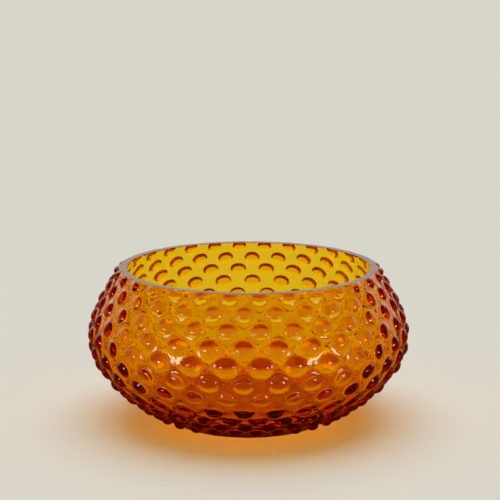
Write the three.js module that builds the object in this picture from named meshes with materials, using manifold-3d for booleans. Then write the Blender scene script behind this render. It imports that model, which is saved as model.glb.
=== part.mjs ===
import * as THREE from 'three';
import { mergeVertices } from 'three/addons/utils/BufferGeometryUtils.js';
import Module from 'manifold-3d';

// Squat bowl of amber art glass, blown into a mould that leaves a round hob at
// every crossing of a staggered net. The whole bowl is one piece of glass: the
// wall, its floor and its hobs are blown from one gather, and then the rim is cut
// and ground flat. Millimetres, +Z up, origin in the middle of the flat base.

// Driving dimensions of the glass without its hobs.
const HEIGHT = 110;          // base to ground rim
const RIM_RADIUS = 91.6;     // outside of the wall at the rim
const BELLY_RADIUS = 112;    // outside of the wall at its widest
const BELLY_HEIGHT = 61;     // height of the widest place
const BASE_RADIUS = 55;      // flat ground base
const WALL = 5;              // glass at the rim and the belly
const FLOOR = 9;             // glass under the middle of the hollow
const FLOOR_RADIUS = 32;     // flat middle of the hollow's floor

// How the wall curves between those places.
const NECK_LEAN = 4.4;       // how far the wall leans out just below the rim
const NECK_DROP = 13;        // over this height
const SHOULDER_RISE = 19;    // upright pull of the curve above the belly
const BELLY_DROP = 23;       // upright pull of the curve below the belly
const HEEL_REACH = 32;       // how far the heel sweeps out from the base
const HEEL_RISE = 16;        // over this height
const HOLLOW_REACH = 43;     // how far the hollow sweeps out from its flat floor

// The hobs, in rings that are staggered by half a step.
const HOBS_PER_RING = 30;
const HOB_RADIUS = 5.0;      // where a hob meets the wall
const HOB_RISE = 2.6;        // height of a hob over the wall
const SIDE_RINGS = 7;        // rings on the side, from the rim down
const HEEL_RINGS = 4;        // rings on the heel
const FIRST_RING = 2.8;      // from the rim to the first ring, which the rim cuts through
const LAST_RING = 16;        // from the last ring to the edge of the base
const HEEL_GAP = 1.4;        // steps from the last side ring to the first heel ring
const PHASE = THREE.MathUtils.degToRad(-1.6);   // how far the rings are turned from the front

// The blown wall runs on above the rim, and the grinding takes it off.
const OVERBLOW = 9;

// Facets of the model.
const HOB_SIDES = 6;
const HOB_SHOULDER = 0.72;   // a hob's facets break at this share of its radius and rise
const HOLLOW_STEPS = 5;      // for each of the hollow's two curves

const at = (radius, height) => new THREE.Vector2(radius, height);

// Outline of the outside, from above the rim over the belly to the base.
function outsideCurve() {
  const rim = at(RIM_RADIUS, HEIGHT);
  const neck = at(RIM_RADIUS + NECK_LEAN, HEIGHT - NECK_DROP);
  const belly = at(BELLY_RADIUS, BELLY_HEIGHT);
  const upward = rim.clone().sub(neck).setLength(OVERBLOW);
  const path = new THREE.CurvePath();
  path.add(new THREE.LineCurve(rim.clone().add(upward), rim));
  path.add(new THREE.CubicBezierCurve(
    rim, neck, at(BELLY_RADIUS, BELLY_HEIGHT + SHOULDER_RISE), belly));
  path.add(new THREE.CubicBezierCurve(
    belly,
    at(BELLY_RADIUS, BELLY_HEIGHT - BELLY_DROP),
    at(BASE_RADIUS + HEEL_REACH, HEEL_RISE),
    at(BASE_RADIUS, 0)));
  return path;
}

// Outline of the hollow, from above the rim down to the edge of its flat floor.
function hollowOutline() {
  const inner = BELLY_RADIUS - WALL;
  const rim = at(RIM_RADIUS - WALL, HEIGHT);
  const neck = at(rim.x + NECK_LEAN, HEIGHT - NECK_DROP);
  const belly = at(inner, BELLY_HEIGHT);
  const upper = new THREE.CubicBezierCurve(
    rim, neck, at(inner, BELLY_HEIGHT + SHOULDER_RISE), belly);
  const lower = new THREE.CubicBezierCurve(
    belly,
    at(inner, BELLY_HEIGHT - BELLY_DROP),
    at(FLOOR_RADIUS + HOLLOW_REACH, FLOOR),
    at(FLOOR_RADIUS, FLOOR));
  const upward = rim.clone().sub(neck).setLength(OVERBLOW);
  return [
    rim.clone().add(upward),
    ...upper.getPoints(HOLLOW_STEPS),
    ...lower.getPoints(HOLLOW_STEPS).slice(1),
  ];
}

const outside = outsideCurve();
const wallLength = outside.getLength() - OVERBLOW;

// Distance of each ring from the rim, along the outside. The rings share out the
// wall between the first and the last.
function ringPlaces() {
  const steps = SIDE_RINGS - 1 + HEEL_GAP + HEEL_RINGS - 1;
  const step = (wallLength - FIRST_RING - LAST_RING) / steps;
  const places = [];
  for (let ring = 0; ring < SIDE_RINGS + HEEL_RINGS; ring++) {
    const gap = ring < SIDE_RINGS ? 0 : HEEL_GAP - 1;
    places.push(FIRST_RING + (ring + gap) * step);
  }
  return places;
}

// The net goes round the bowl in half steps. A hob and a bare corner take turns,
// along each ring and from ring to ring.
const HALF_STEPS = 2 * HOBS_PER_RING;
const angleOf = (halfStep) => PHASE + halfStep * Math.PI / HOBS_PER_RING;
const isCorner = (ring, halfStep) => (ring + halfStep) % 2 === 0;

function around(radius, height, angle) {
  return new THREE.Vector3(radius * Math.sin(angle), -radius * Math.cos(angle), height);
}

// The point of the outside at a distance from the rim, lifted off it by lift.
function onOutside(place, angle, lift = 0) {
  const share = (place + OVERBLOW) / (wallLength + OVERBLOW);
  const spot = outside.getPoint(share);
  const down = outside.getTangent(share);
  return around(spot.x - down.y * lift, spot.y + down.x * lift, angle);
}

// Vertices and triangles of a mesh as they are added.
class Skin {
  positions = [];
  index = [];

  vertex(point) {
    this.positions.push(point.x, point.y, point.z);
    return this.positions.length / 3 - 1;
  }

  face(...corners) {
    for (let i = 2; i < corners.length; i++) {
      this.index.push(corners[0], corners[i - 1], corners[i]);
    }
  }
}

// The bare corners of every ring, with those above the rim as ring -1 and those
// at the edge of the base as the last.
function addCorners(skin, places) {
  const corners = new Map();
  [-OVERBLOW, ...places, wallLength].forEach((place, i) => {
    for (let h = 0; h < HALF_STEPS; h++) {
      if (isCorner(i + 1, h)) {
        corners.set(`${i - 1} ${h}`, skin.vertex(onOutside(place, angleOf(h))));
      }
    }
  });
  return (ring, h) => corners.get(`${ring} ${(h + HALF_STEPS) % HALF_STEPS}`);
}

// One hob on the diamond between four bare corners: right, below, left, above.
function addHob(skin, place, angle, diamond) {
  const radius = outside.getPoint((place + OVERBLOW) / (wallLength + OVERBLOW)).x;
  const loop = (share, lift) => Array.from({ length: HOB_SIDES }, (_, i) => {
    const turned = i * 2 * Math.PI / HOB_SIDES;
    const reach = HOB_RADIUS * share;
    return skin.vertex(onOutside(
      place + reach * Math.sin(turned), angle + reach * Math.cos(turned) / radius, lift));
  });
  const foot = loop(1, 0);
  const shoulder = loop(HOB_SHOULDER, HOB_RISE * HOB_SHOULDER);
  const top = skin.vertex(onOutside(place, angle, HOB_RISE));
  for (let i = 0; i < HOB_SIDES; i++) {
    const next = (i + 1) % HOB_SIDES;
    const corner = diamond[Math.round(i * 4 / HOB_SIDES) % 4];
    const nextCorner = diamond[Math.round((i + 1) * 4 / HOB_SIDES) % 4];
    skin.face(foot[i], foot[next], corner);
    if (nextCorner !== corner) {
      skin.face(foot[next], nextCorner, corner);
    }
    skin.face(shoulder[i], shoulder[next], foot[next], foot[i]);
    skin.face(top, shoulder[next], shoulder[i]);
  }
}

// The outside with its hobs, closed to straight edges above the rim and at the base.
function addOutside(skin) {
  const places = ringPlaces();
  const corner = addCorners(skin, places);
  const lastRing = places.length - 1;
  places.forEach((place, ring) => {
    for (let h = 0; h < HALF_STEPS; h++) {
      if (!isCorner(ring, h)) {
        addHob(skin, place, angleOf(h), [
          corner(ring, h + 1), corner(ring + 1, h), corner(ring, h - 1), corner(ring - 1, h)]);
      }
    }
  });
  const topEdge = [];
  const baseEdge = [];
  for (let h = 1; h < HALF_STEPS; h += 2) {
    topEdge.push(corner(-1, h));
    baseEdge.push(corner(lastRing + 1, h));
    skin.face(corner(-1, h + 2), corner(-1, h), corner(0, h + 1));
    skin.face(corner(lastRing + 1, h), corner(lastRing + 1, h + 2), corner(lastRing, h + 1));
  }
  return { topEdge, baseEdge };
}

// A band of facets from one edge to the next, seen from the side that it faces.
function addBand(skin, upper, lower) {
  upper.forEach((_, i) => {
    const next = (i + 1) % upper.length;
    skin.face(upper[i], lower[i], lower[next], upper[next]);
  });
}

// A flat or dished disc that closes an edge, facing up or down.
function addDisc(skin, edge, height, up) {
  const middle = skin.vertex(new THREE.Vector3(0, 0, height));
  edge.forEach((vertex, i) => {
    const next = edge[(i + 1) % edge.length];
    skin.face(...(up ? [middle, vertex, next] : [middle, next, vertex]));
  });
}

// The hollow, from the top edge down to its floor. It faces inwards.
function addHollow(skin, topEdge) {
  const edgeAt = (point) => topEdge.map((_, i) =>
    skin.vertex(around(point.x, point.y, angleOf(2 * i + 1))));
  const edges = hollowOutline().map(edgeAt);
  addBand(skin, edges[0], topEdge);
  for (let i = 1; i < edges.length; i++) {
    addBand(skin, edges[i], edges[i - 1]);
  }
  addDisc(skin, edges[edges.length - 1], FLOOR, true);
}

const wasm = await Module();
wasm.setup();

function toSolid(positions, index) {
  return new wasm.Manifold(new wasm.Mesh({
    numProp: 3,
    vertProperties: new Float32Array(positions),
    triVerts: new Uint32Array(index),
  }));
}

function blownSolid() {
  const skin = new Skin();
  const { topEdge, baseEdge } = addOutside(skin);
  addHollow(skin, topEdge);
  addDisc(skin, baseEdge, 0, false);
  return toSolid(skin.positions, skin.index);
}

// Everything over the rim, which the grinding takes off.
function overRim() {
  const side = 4 * BELLY_RADIUS;
  const block = new THREE.BoxGeometry(side, side, 2 * OVERBLOW);
  block.translate(0, 0, HEIGHT + OVERBLOW);
  block.deleteAttribute('normal');
  block.deleteAttribute('uv');
  const welded = mergeVertices(block);
  return toSolid(welded.attributes.position.array, welded.index.array);
}

function bowlGeometry() {
  const mesh = blownSolid().subtract(overRim()).getMesh();
  const geometry = new THREE.BufferGeometry();
  geometry.setAttribute('position', new THREE.BufferAttribute(mesh.vertProperties, 3));
  geometry.setIndex(new THREE.BufferAttribute(mesh.triVerts, 1));
  geometry.computeVertexNormals();
  return geometry;
}

const amberGlass = new THREE.MeshStandardMaterial({
  name: 'amber_glass',
  color: 0xd9771a,
  roughness: 0.03,
  metalness: 0,
});

const bowl = new THREE.Mesh(bowlGeometry(), amberGlass);
bowl.name = 'glass_bowl';

const group = new THREE.Group();
group.add(bowl);

export default group;
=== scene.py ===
from bisect import bisect_right
from math import cos, hypot, pi, radians, sin

import bmesh
import bpy
from mathutils import Euler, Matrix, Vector
from mathutils.geometry import interpolate_bezier


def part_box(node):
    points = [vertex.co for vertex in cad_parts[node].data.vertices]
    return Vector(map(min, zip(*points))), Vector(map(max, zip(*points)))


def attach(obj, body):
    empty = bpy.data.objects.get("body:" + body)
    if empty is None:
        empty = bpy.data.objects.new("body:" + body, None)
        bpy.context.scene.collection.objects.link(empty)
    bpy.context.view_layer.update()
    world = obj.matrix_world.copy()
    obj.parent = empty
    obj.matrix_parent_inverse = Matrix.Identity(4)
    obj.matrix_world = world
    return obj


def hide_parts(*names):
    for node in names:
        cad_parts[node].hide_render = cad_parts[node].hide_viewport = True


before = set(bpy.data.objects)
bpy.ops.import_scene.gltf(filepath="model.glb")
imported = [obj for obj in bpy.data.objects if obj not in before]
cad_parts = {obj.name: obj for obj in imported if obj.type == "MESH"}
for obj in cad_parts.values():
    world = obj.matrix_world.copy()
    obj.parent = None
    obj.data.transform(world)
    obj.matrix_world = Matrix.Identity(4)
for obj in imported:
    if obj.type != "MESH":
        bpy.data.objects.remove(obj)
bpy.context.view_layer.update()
scene = bpy.context.scene

# ---------------------------------------------------------------------------
# Studio. A pale ivory table under a pale ivory surround, with a camera a little
# above the rim. A wide soft light overhead leans in from behind the bowl, and two
# low soft lamps in front of it leave a bright patch on each side of the belly.
# ---------------------------------------------------------------------------
CAMERA_PLACE = (0.0011, -1.171, 0.3552)
CAMERA_LOOKS_DOWN = radians(11.29)

camera_data = bpy.data.cameras.new("camera")
camera_data.lens = 121.0
camera_data.sensor_width = 36.0
camera_data.dof.use_dof = False
camera = bpy.data.objects.new("camera", camera_data)
camera.location = CAMERA_PLACE
camera.rotation_euler = Euler((radians(90) - CAMERA_LOOKS_DOWN, 0, 0))
scene.collection.objects.link(camera)
scene.camera = camera

TABLE_HALF = 12.0
TABLE_GAP = 0.0003           # keeps the table's face clear of the bowl's ground base
TABLE_COLOUR = (0.738, 0.724, 0.665, 1)
# Two painted colours of the table: a painted dark reflection of it in the glass, and a painted
# lighter tone of it seen through the glass.
TABLE_PAINTED_DARK_IN_REFLECTIONS = (0.09, 0.06, 0.03, 1)
TABLE_PAINTED_LIGHTER_THROUGH_GLASS = (0.84, 0.86, 0.82, 1)

table_shape = bmesh.new()
bmesh.ops.create_grid(table_shape, x_segments=1, y_segments=1, size=TABLE_HALF)
table_mesh = bpy.data.meshes.new("table")
table_shape.to_mesh(table_mesh)
table_shape.free()
table = bpy.data.objects.new("table", table_mesh)
table.location.z = -TABLE_GAP
scene.collection.objects.link(table)

table_paint = bpy.data.materials.new("table_paint")
table_paint.use_nodes = True
table_nodes = table_paint.node_tree.nodes
table_links = table_paint.node_tree.links
paint = table_nodes["Principled BSDF"]
paint.inputs["Roughness"].default_value = 0.9
paint.inputs["Specular IOR Level"].default_value = 0.0
# The table's colour is painted by kind of ray. It is painted dark where the glass reflects it,
# which holds down the glass's sheen of the table so the amber stays deep, and it is painted
# lighter where it is seen through the glass.
glance = table_nodes.new("ShaderNodeLightPath")
mirrored = table_nodes.new("ShaderNodeMath")
mirrored.operation = "SUBTRACT"
mirrored.use_clamp = True
table_links.new(glance.outputs["Is Glossy Ray"], mirrored.inputs[0])
table_links.new(glance.outputs["Is Transmission Ray"], mirrored.inputs[1])
reflection_painted_dark = table_nodes.new("ShaderNodeMix")
reflection_painted_dark.data_type = "RGBA"
reflection_painted_dark.inputs["A"].default_value = TABLE_COLOUR
reflection_painted_dark.inputs["B"].default_value = TABLE_PAINTED_DARK_IN_REFLECTIONS
table_links.new(mirrored.outputs[0], reflection_painted_dark.inputs["Factor"])
painted_lighter_through_glass = table_nodes.new("ShaderNodeMix")
painted_lighter_through_glass.data_type = "RGBA"
painted_lighter_through_glass.inputs["B"].default_value = TABLE_PAINTED_LIGHTER_THROUGH_GLASS
table_links.new(glance.outputs["Is Transmission Ray"], painted_lighter_through_glass.inputs["Factor"])
table_links.new(reflection_painted_dark.outputs["Result"], painted_lighter_through_glass.inputs["A"])
table_links.new(painted_lighter_through_glass.outputs["Result"], paint.inputs["Base Color"])
table_mesh.materials.append(table_paint)

# What each kind of ray meets outside. The backdrop has its own colour when it is
# looked at, is brighter through the glass and dark overhead there, and shows in
# reflections only where it stands low behind the bowl.
BACKDROP = (0.695, 0.675, 0.585, 1)
BACKDROP_MIRRORED = (0.70, 0.58, 0.47, 1)
THROUGH_GLASS = 1.3
THROUGH_GLASS_OVERHEAD = 0.04
GLOW = 1.1                   # what lights the table through the glass
MIRRORED_BEHIND = 1.5
MIRRORED_IN_FRONT = 0.06
MIRRORED_OVERHEAD = 0.06     # as a share of the two above
ON_TABLE = 0.35

world = bpy.data.worlds.new("surround")
world.use_nodes = True
scene.world = world
sky = world.node_tree.nodes
sky_links = world.node_tree.links
surround = sky["Background"]


def sky_math(operation, first, second):
    """One sum of two values, each a socket or a number."""
    node = sky.new("ShaderNodeMath")
    node.operation = operation
    for socket, value in zip(node.inputs, (first, second)):
        if isinstance(value, bpy.types.NodeSocket):
            sky_links.new(value, socket)
        else:
            socket.default_value = value
    return node.outputs[0]


def sky_ramp(value, start, stop, at_start, at_stop):
    """Eases from at_start to at_stop while the value goes from start to stop."""
    ramp = sky.new("ShaderNodeMapRange")
    ramp.interpolation_type = "SMOOTHSTEP"
    sky_links.new(value, ramp.inputs["Value"])
    ramp.inputs["From Min"].default_value = start
    ramp.inputs["From Max"].default_value = stop
    ramp.inputs["To Min"].default_value = at_start
    ramp.inputs["To Max"].default_value = at_stop
    return ramp.outputs["Result"]


direction = sky.new("ShaderNodeTexCoord")
parts = sky.new("ShaderNodeSeparateXYZ")
sky_links.new(direction.outputs["Generated"], parts.inputs[0])
ray = sky.new("ShaderNodeLightPath")

looked_at = ray.outputs["Is Camera Ray"]
from_table = sky_math("MINIMUM", ray.outputs["Diffuse Depth"], 1.0)
not_from_table = sky_math("SUBTRACT", 1.0, from_table)
screen = sky_ramp(parts.outputs["Z"], 0.35, 0.75, THROUGH_GLASS, THROUGH_GLASS_OVERHEAD)
through = sky_math(
    "MULTIPLY", ray.outputs["Is Transmission Ray"],
    sky_math("ADD", sky_math("MULTIPLY", screen, not_from_table),
             sky_math("MULTIPLY", from_table, GLOW)))
mirrored_ray = sky_math(
    "MULTIPLY", ray.outputs["Is Glossy Ray"],
    sky_math("SUBTRACT", 1.0, ray.outputs["Is Transmission Ray"]))
behind = sky_ramp(parts.outputs["Y"], 0.3, 0.8, MIRRORED_IN_FRONT, MIRRORED_BEHIND)
low_down = sky_ramp(parts.outputs["Z"], 0.45, 0.7, 1.0, MIRRORED_OVERHEAD)
reflected = sky_math("MULTIPLY", mirrored_ray, sky_math("MULTIPLY", behind, low_down))
scattered = sky_math("MULTIPLY", ray.outputs["Is Diffuse Ray"], ON_TABLE)
strength = sky_math(
    "ADD", sky_math("ADD", looked_at, through), sky_math("ADD", reflected, scattered))
sky_links.new(strength, surround.inputs["Strength"])

backdrop = sky.new("ShaderNodeMix")
backdrop.data_type = "RGBA"
backdrop.inputs["A"].default_value = BACKDROP
backdrop.inputs["B"].default_value = BACKDROP_MIRRORED
sky_links.new(mirrored_ray, backdrop.inputs["Factor"])
sky_links.new(backdrop.outputs["Result"], surround.inputs["Color"])

OVERHEAD_LEAN = radians(12)

overhead_data = bpy.data.lights.new("overhead", "SUN")
overhead_data.energy = 2.22
overhead_data.angle = radians(70)
overhead = bpy.data.objects.new("overhead", overhead_data)
overhead.rotation_euler = Euler((-OVERHEAD_LEAN, 0, 0))
overhead.visible_glossy = False
scene.collection.objects.link(overhead)

LAMP_AIM = Vector((0, 0, 0.06))
LAMP_DISTANCE = 1.6
LAMP_ELEVATION = radians(4)
LAMP_AZIMUTH = radians(52)   # from the front
LAMP_SIZE = (0.6, 0.4)
LAMP_POWER = 6.5

for side, azimuth in (("left", -LAMP_AZIMUTH), ("right", LAMP_AZIMUTH)):
    lamp_data = bpy.data.lights.new(f"soft_{side}", "AREA")
    lamp_data.shape = "RECTANGLE"
    lamp_data.size, lamp_data.size_y = LAMP_SIZE
    lamp_data.energy = LAMP_POWER
    lamp = bpy.data.objects.new(f"soft_{side}", lamp_data)
    toward = Vector((sin(azimuth) * cos(LAMP_ELEVATION), -cos(azimuth) * cos(LAMP_ELEVATION),
                     sin(LAMP_ELEVATION)))
    lamp.location = LAMP_AIM + LAMP_DISTANCE * toward
    lamp.rotation_euler = toward.to_track_quat("Z", "Y").to_euler()
    lamp.visible_diffuse = False
    scene.collection.objects.link(lamp)

# ---------------------------------------------------------------------------
# The bowl. One gather of clear amber glass, blown into a mould that leaves a
# round hob at every crossing of a staggered net, and inside a faint wide dimple
# behind each hob. The rim is cut off and ground flat, and so is the base.
# ---------------------------------------------------------------------------
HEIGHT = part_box("glass_bowl")[1].z
BELLY_RADIUS = 0.112
BELLY_HEIGHT = 0.061
RIM_RADIUS = 0.0916
BASE_RADIUS = 0.055
WALL = 0.005
FLOOR = 0.009
FLOOR_RADIUS = 0.032
OVERBLOW = 0.030             # wall above the rim, which the grinding takes off
NECK_OUT = 0.0044            # this and the next five draw the curves of the wall
NECK_DOWN = 0.013
SHOULDER_PULL = 0.019
BELLY_PULL = 0.023
HEEL_PULL = (0.032, 0.016)
FLOOR_PULL = 0.043

HOBS_PER_RING = 30
PITCH = 2 * pi / HOBS_PER_RING
PHASE = radians(-1.6)
SIDE_RINGS = 7
HEEL_RINGS = 4
FIRST_RING = 0.0028          # along the wall from the rim
LAST_RING = 0.016            # along the wall from the edge of the base
HEEL_GAP = 1.4               # steps between the lowest side ring and the first on the heel


class Outline:
    """A curve from above the rim down to the bottom, read by distance along it."""

    def __init__(self, start, *beziers, steps=80):
        self.points = [Vector(start)]
        for bezier in beziers:
            stretch = interpolate_bezier(*(Vector(p).to_3d() for p in bezier), steps)
            self.points += [p.to_2d() for p in stretch]
        self.marks = [0.0]
        for a, b in zip(self.points, self.points[1:]):
            self.marks.append(self.marks[-1] + (b - a).length)

    def at(self, mark):
        """The point there, and the unit normal to its left, going down."""
        i = min(max(bisect_right(self.marks, mark) - 1, 0), len(self.marks) - 2)
        while self.marks[i + 1] == self.marks[i]:
            i -= 1
        a, b = self.points[i], self.points[i + 1]
        along = (b - a).normalized()
        return a + along * (mark - self.marks[i]), Vector((-along.y, along.x))


rim_edge = Vector((RIM_RADIUS, HEIGHT))
neck = Vector((RIM_RADIUS + NECK_OUT, HEIGHT - NECK_DOWN))
belly = Vector((BELLY_RADIUS, BELLY_HEIGHT))
above_rim = rim_edge + (rim_edge - neck).normalized() * OVERBLOW
shoulder = belly + Vector((0, SHOULDER_PULL))
under_belly = belly - Vector((0, BELLY_PULL))
base_edge = Vector((BASE_RADIUS, 0))
outside = Outline(
    above_rim,
    (rim_edge, neck, shoulder, belly),
    (belly, under_belly, base_edge + Vector(HEEL_PULL), base_edge))
wall_length = outside.marks[-1] - OVERBLOW

inward = Vector((-WALL, 0))
floor_edge = Vector((FLOOR_RADIUS, FLOOR))
hollow = Outline(
    above_rim + inward,
    (rim_edge + inward, neck + inward, shoulder + inward, belly + inward),
    (belly + inward, under_belly + inward, floor_edge + Vector((FLOOR_PULL, 0)), floor_edge))

ring_step = (wall_length - FIRST_RING - LAST_RING) / (SIDE_RINGS + HEEL_RINGS - 2 + HEEL_GAP)
ring_places = []
for ring in range(SIDE_RINGS + HEEL_RINGS):
    gap = 0 if ring < SIDE_RINGS else HEEL_GAP - 1
    ring_places.append(FIRST_RING + (ring + gap) * ring_step)
# The net also has bare rings: two above the rim, and one on the edge of the base.
net = [ring_places[0] - 2 * ring_step, ring_places[0] - ring_step, *ring_places,
       wall_length, wall_length + ring_step]

HOB_HALF_ACROSS = 0.0064     # at the belly, where the blowing drew the hobs out sideways
HOB_HALF_DOWN = 0.0053
HOB_DOWN_FOLLOWS = 0.6       # how far a hob's height goes with the girth of the bowl
HOB_RISE = 0.0032
RIM_FADE = 0.0035            # the first hobs come flush with the rim over this height
CELL_SIDES = 16
# Rings of a hob from the foot of its pad inwards: share of its halves, share of its rise.
HOB_SHAPE = ((1.42, 0.0), (1.27, 0.045), (1.10, 0.12), (0.98, 0.24), (0.89, 0.48),
             (0.70, 0.71), (0.42, 0.90))
BARE_SHAPE = ((0.66, 0.0), (0.33, 0.0))


def shape_cell(shape, ring, rings, half_across, half_down, rise):
    """One diamond of the net, flat, with rings of CELL_SIDES inside it up to a rise."""
    above, here, below = net[ring - 1:ring + 2]
    half_width = outside.at(here + OVERBLOW)[0].x * PITCH / 2
    corners = (Vector((half_width, 0, 0)), Vector((0, below - here, 0)),
               Vector((-half_width, 0, 0)), Vector((0, above - here, 0)))
    loop = bmesh.ops.create_circle(shape, segments=CELL_SIDES, radius=1.0)["verts"]
    rays = {}
    for vertex in loop:
        share_of_turn = -vertex.co.to_2d().angle_signed(Vector((1, 0))) / (2 * pi)
        step = round(share_of_turn * CELL_SIDES) % CELL_SIDES
        side, steps_along = divmod(step, CELL_SIDES // 4)
        vertex.co = corners[side].lerp(corners[(side + 1) % 4], steps_along / (CELL_SIDES // 4))
        turn = 2 * pi * step / CELL_SIDES
        rays[vertex] = Vector((half_across * cos(turn), half_down * sin(turn), 0))
    cell = list(loop)
    edges = list(dict.fromkeys(e for v in loop for e in v.link_edges))
    for reach, height in rings:
        grown = bmesh.ops.extrude_edge_only(shape, edges=edges)["geom"]
        fresh = [g for g in grown if isinstance(g, bmesh.types.BMVert)]
        edges = [g for g in grown if isinstance(g, bmesh.types.BMEdge)
                 and all(v in fresh for v in g.verts)]
        rays = {v: rays[min(rays, key=lambda old: (old.co - v.co).length)] for v in fresh}
        for vertex, ray_out in rays.items():
            vertex.co = ray_out * reach + Vector((0, 0, rise * height))
        cell += fresh
    grown = bmesh.ops.extrude_edge_only(shape, edges=edges)["geom"]
    fresh = [g for g in grown if isinstance(g, bmesh.types.BMVert)]
    cell += fresh
    bmesh.ops.pointmerge(shape, verts=fresh, merge_co=(0, 0, rise))
    return [v for v in cell if v.is_valid]


def whole_turn(shape):
    """Copies a wedge one pitch wide round the bowl and joins the copies."""
    bmesh.ops.spin(
        shape, geom=[*shape.verts, *shape.edges, *shape.faces], cent=(0, 0, 0),
        axis=(0, 0, 1), angle=2 * pi, steps=HOBS_PER_RING, use_duplicate=True)
    bmesh.ops.remove_doubles(shape, verts=shape.verts, dist=2e-5)


shell = bmesh.new()
last = len(net) - 2
for ring in range(1, last + 1):
    here = net[ring]
    girth = outside.at(here + OVERBLOW)[0].x
    slimness = girth / BELLY_RADIUS
    half_across = HOB_HALF_ACROSS * slimness
    half_down = HOB_HALF_DOWN * (1 - HOB_DOWN_FOLLOWS + HOB_DOWN_FOLLOWS * slimness)
    if ring in (1, last):
        cell = shape_cell(shell, ring, BARE_SHAPE, half_across, half_down, 0)
    else:
        cell = shape_cell(shell, ring, HOB_SHAPE, half_across, half_down, HOB_RISE)
    if ring == last:
        # Only the upper half of the lowest diamond lies on the wall.
        faces = dict.fromkeys(f for v in cell for f in v.link_faces)
        edges = dict.fromkeys(e for v in cell for e in v.link_edges)
        cut = bmesh.ops.bisect_plane(
            shell, geom=[*cell, *edges, *faces], dist=1e-6, plane_co=(0, 0, 0),
            plane_no=(0, 1, 0), clear_outer=True)["geom_cut"]
        cell = [v for v in cell if v.is_valid]
        cell += [g for g in cut if isinstance(g, bmesh.types.BMVert) and g not in cell]
    middle = PHASE + (0 if ring % 2 else PITCH / 2)
    for vertex in cell:
        across, down, lift = vertex.co
        angle = middle + across / girth
        flush = min(max((here + down) / RIM_FADE, 0), 1)
        spot, normal = outside.at(here + down + OVERBLOW)
        spot = spot + normal * (lift * flush)
        vertex.co = (spot.x * sin(angle), -spot.x * cos(angle), spot.y)
whole_turn(shell)

# The hollow is one wedge of a plain grid laid on its outline.
HOLLOW_COLUMNS = 10
HOLLOW_ROWS = 96
DIMPLE_RADIUS = 0.0085       # at the belly
DIMPLE_DEPTH = 0.0003


def dimple(angle, place):
    """How far the hollow reaches towards the outside at the back of the nearest hob."""
    girth = outside.at(place + OVERBLOW)[0].x
    depth = 0
    for ring, here in enumerate(ring_places):
        turns = (angle - PHASE) / PITCH - (0 if ring % 2 else 0.5)
        across = (turns - round(turns)) * PITCH * girth
        reach = DIMPLE_RADIUS * girth / BELLY_RADIUS
        apart = hypot(across, place - here) / reach
        if apart < 1:
            depth += DIMPLE_DEPTH * (1 - apart ** 2) ** 2
    return depth


inside = bmesh.new()
bmesh.ops.create_grid(
    inside, x_segments=HOLLOW_COLUMNS, y_segments=HOLLOW_ROWS, size=0.5)
for vertex in inside.verts:
    angle = PHASE + PITCH * vertex.co.x
    mark = hollow.marks[-1] * (vertex.co.y + 0.5)
    spot, normal = hollow.at(mark)
    spot = spot + normal * dimple(angle, mark - OVERBLOW)
    vertex.co = (spot.x * sin(angle), -spot.x * cos(angle), spot.y)
whole_turn(inside)
floor_loop = [e for e in inside.edges if e.is_boundary and e.verts[0].co.z < BELLY_HEIGHT]
bmesh.ops.holes_fill(inside, edges=floor_loop, sides=0)

inside_mesh = bpy.data.meshes.new("inside")
inside.to_mesh(inside_mesh)
inside.free()
shell.from_mesh(inside_mesh)
bpy.data.meshes.remove(inside_mesh)

# Grinding: each cut edge gets a narrow arris, and then a flat.
RIM_ARRIS = 0.0004
BASE_ARRIS = 0.0008


def grind(level, up, arris):
    """Cuts the shell at a level, and leaves the cut edges chamfered to a flat."""
    facing = 1 if up else -1
    bmesh.ops.bisect_plane(
        shell, geom=[*shell.verts, *shell.edges, *shell.faces],
        plane_co=(0, 0, level - facing * arris), plane_no=(0, 0, facing),
        clear_outer=True)
    cut = [e for e in shell.edges if e.is_boundary
           and abs(e.verts[0].co.z - level) < 2 * arris]
    outer_radius = max(v.co.to_2d().length for e in cut for v in e.verts)
    grown = bmesh.ops.extrude_edge_only(shell, edges=cut)["geom"]
    for vertex in (g for g in grown if isinstance(g, bmesh.types.BMVert)):
        radius = vertex.co.to_2d().length
        outer = radius > outer_radius - WALL / 2 - HOB_RISE
        reach = (radius + (-arris if outer else arris)) / radius
        vertex.co = (vertex.co.x * reach, vertex.co.y * reach, level)
    edge = [e for e in shell.edges if e.is_boundary
            and abs(e.verts[0].co.z - level) < arris / 2]
    if up:
        flat = bmesh.ops.bridge_loops(shell, edges=edge)["faces"]
    else:
        flat = bmesh.ops.contextual_create(shell, geom=edge)["faces"]
    for face in flat:
        face.smooth = False


for face in shell.faces:
    face.smooth = True
grind(HEIGHT, True, RIM_ARRIS)
grind(0.0, False, BASE_ARRIS)
bmesh.ops.recalc_face_normals(shell, faces=shell.faces)

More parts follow.
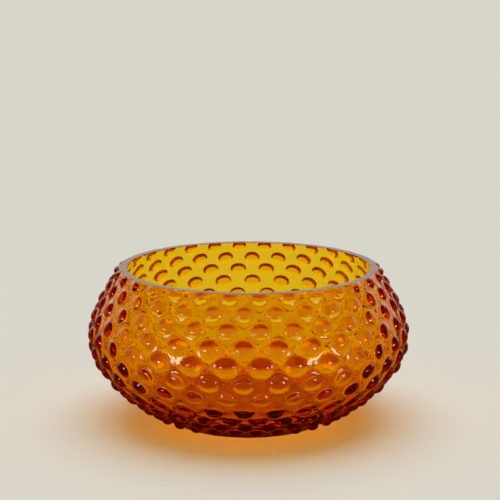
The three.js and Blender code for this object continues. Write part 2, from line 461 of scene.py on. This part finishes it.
bowl_mesh = bpy.data.meshes.new("bowl")
shell.to_mesh(bowl_mesh)
shell.free()
bowl = bpy.data.objects.new("bowl", bowl_mesh)
scene.collection.objects.link(bowl)

# Clear amber glass: its colour is all in the depth that the light goes through.
# The blown skin is never quite even, and has slow ripples a centimetre or so long.
ABSORBED = (16.0, 106.0, 850.0)   # of red, green and blue, by a metre of the glass
RIPPLE_SCALE = 90.0
RIPPLE_DEPTH = 0.00025

glass = bpy.data.materials.new("amber_glass")
glass.use_nodes = True
nodes = glass.node_tree.nodes
links = glass.node_tree.links
body = nodes["Principled BSDF"]
body.inputs["Base Color"].default_value = (1, 1, 1, 1)
body.inputs["Transmission Weight"].default_value = 1.0
body.inputs["Roughness"].default_value = 0.0
body.inputs["IOR"].default_value = 1.51
tint = nodes.new("ShaderNodeVolumeAbsorption")
strongest = max(ABSORBED)
tint.inputs["Density"].default_value = strongest
tint.inputs["Color"].default_value = (*(1 - a / strongest for a in ABSORBED), 1)
links.new(tint.outputs["Volume"], nodes["Material Output"].inputs["Volume"])
coords = nodes.new("ShaderNodeTexCoord")
swirl = nodes.new("ShaderNodeTexNoise")
links.new(coords.outputs["Object"], swirl.inputs["Vector"])
swirl.inputs["Scale"].default_value = RIPPLE_SCALE
swirl.inputs["Detail"].default_value = 1.0
ripple = nodes.new("ShaderNodeBump")
ripple.inputs["Distance"].default_value = RIPPLE_DEPTH
links.new(swirl.outputs["Fac"], ripple.inputs["Height"])
links.new(ripple.outputs["Normal"], body.inputs["Normal"])
bowl_mesh.materials.append(glass)

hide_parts("glass_bowl")
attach(bowl, "root")

# The thick hobs bend light many times over, so rays are followed a long way.
cycles = scene.cycles
cycles.max_bounces = 32
cycles.transmission_bounces = 32
cycles.glossy_bounces = 12
cycles.diffuse_bounces = 4
cycles.caustics_refractive = True
cycles.caustics_reflective = True
cycles.blur_glossy = 0.0
cycles.sample_clamp_indirect = 12.0
cycles.use_denoising = True
scene.view_settings.view_transform = "Standard"
